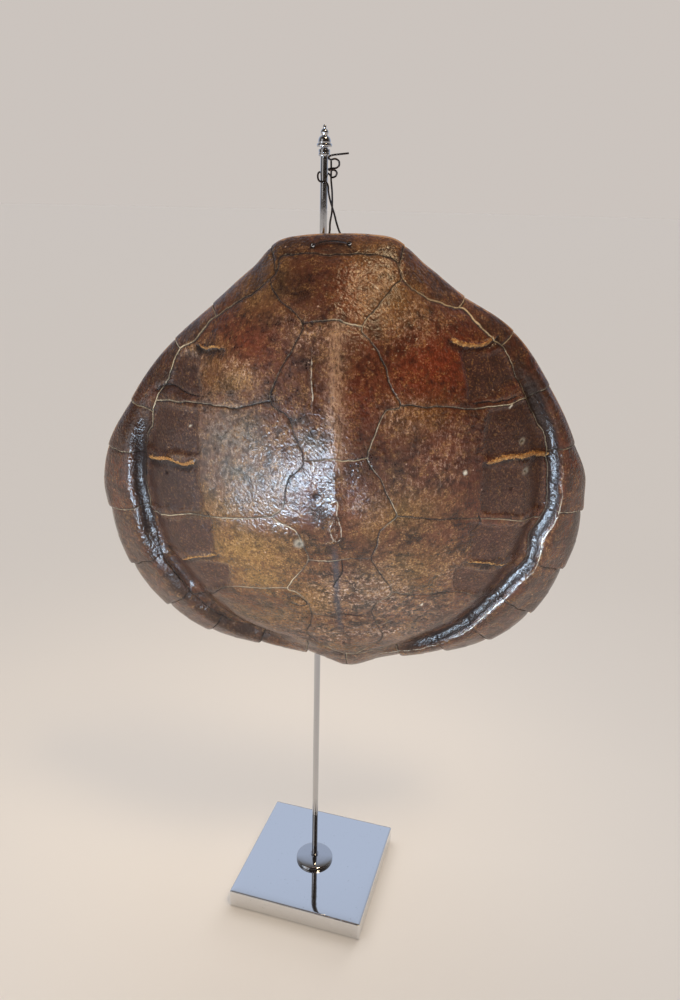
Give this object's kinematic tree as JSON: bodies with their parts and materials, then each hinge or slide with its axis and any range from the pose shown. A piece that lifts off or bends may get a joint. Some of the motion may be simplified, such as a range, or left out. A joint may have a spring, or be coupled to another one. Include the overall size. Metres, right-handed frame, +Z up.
{
  "type": "turtle shell",
  "caption": "Sea turtle carapace hung by an iron wire from a polished metal display stand with a square base, thin rod and turned finial.",
  "frame": {"origin": "centre of the base plate's underside", "axes": "+Z up along the rod, -Y towards the side that the shell's back faces, +X to the right of someone who faces it"},
  "size_m": [0.4454, 0.2333, 0.804],
  "materials": {
    "horn": "varnished mahogany-brown horn scutes over bone, mottled, with pale seams",
    "polished_plate": "mirror-polished steel, faintly smeared, with brushed sides",
    "chrome_fittings": "bright chrome",
    "chrome_rod": "bright chrome",
    "iron_wire": "dark annealed iron wire"
  },
  "bodies": {
    "root": {"carapace": "horn", "base_plate": "polished_plate", "base_flange": "chrome_fittings", "rod": "chrome_rod", "rod_collar": "chrome_fittings", "finial": "chrome_fittings", "hanging_wire": "iron_wire"}
  },
  "joints": []
}
